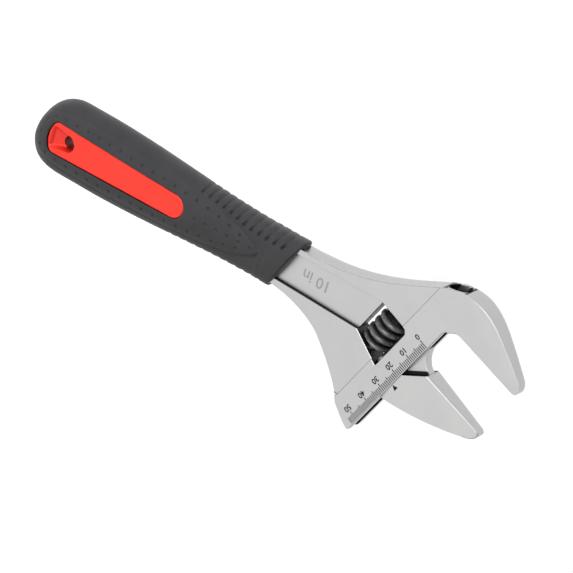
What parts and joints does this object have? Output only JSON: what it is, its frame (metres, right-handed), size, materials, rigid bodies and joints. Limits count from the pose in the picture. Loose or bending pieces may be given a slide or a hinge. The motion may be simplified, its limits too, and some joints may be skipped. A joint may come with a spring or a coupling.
{
  "type": "adjustable wrench",
  "caption": "Adjustable wrench with a worm-driven sliding jaw, an opening scale on the rail and a moulded two-colour grip.",
  "frame": {"origin": "centre of the hang hole, at the middle of the tool's thickness", "axes": "+X along the handle from the hang hole to the head, +Z out of the face that carries the scale, so the wrench lies flat, +Y towards the fixed jaw's back"},
  "size_m": [0.2586, 0.0835, 0.019],
  "materials": {
    "forged_chrome": "satin",
    "jaw_chrome": "satin",
    "black_oxide": "semi-gloss",
    "pin_steel": "plain",
    "spring_wire": "plain",
    "red_core": "satin",
    "grip_rubber": "matte"
  },
  "bodies": {
    "frame": {"frame_body": "forged_chrome", "worm_pin": "pin_steel", "worm_spring": "spring_wire", "grip_core": "red_core", "grip_sleeve": "grip_rubber"},
    "jaw": {"movable_jaw": "jaw_chrome"},
    "worm": {"worm": "black_oxide"}
  },
  "joints": [
    {"name": "jaw_slide", "type": "slide", "parent": "frame", "child": "jaw", "axis": [-0.3827, -0.9239, 0], "range_m": [-0.0247, 0.0252]},
    {"name": "worm_spin", "type": "hinge", "parent": "frame", "child": "worm", "pos_m": [0.17286, -0.00361, 0], "axis": [0.3827, 0.9239, 0], "range_deg": [-2070, 2110]}
  ],
  "couplings": [
    {"joint": "worm_spin", "follows": "jaw_slide", "rad_per_m": 1461.2}
  ]
}
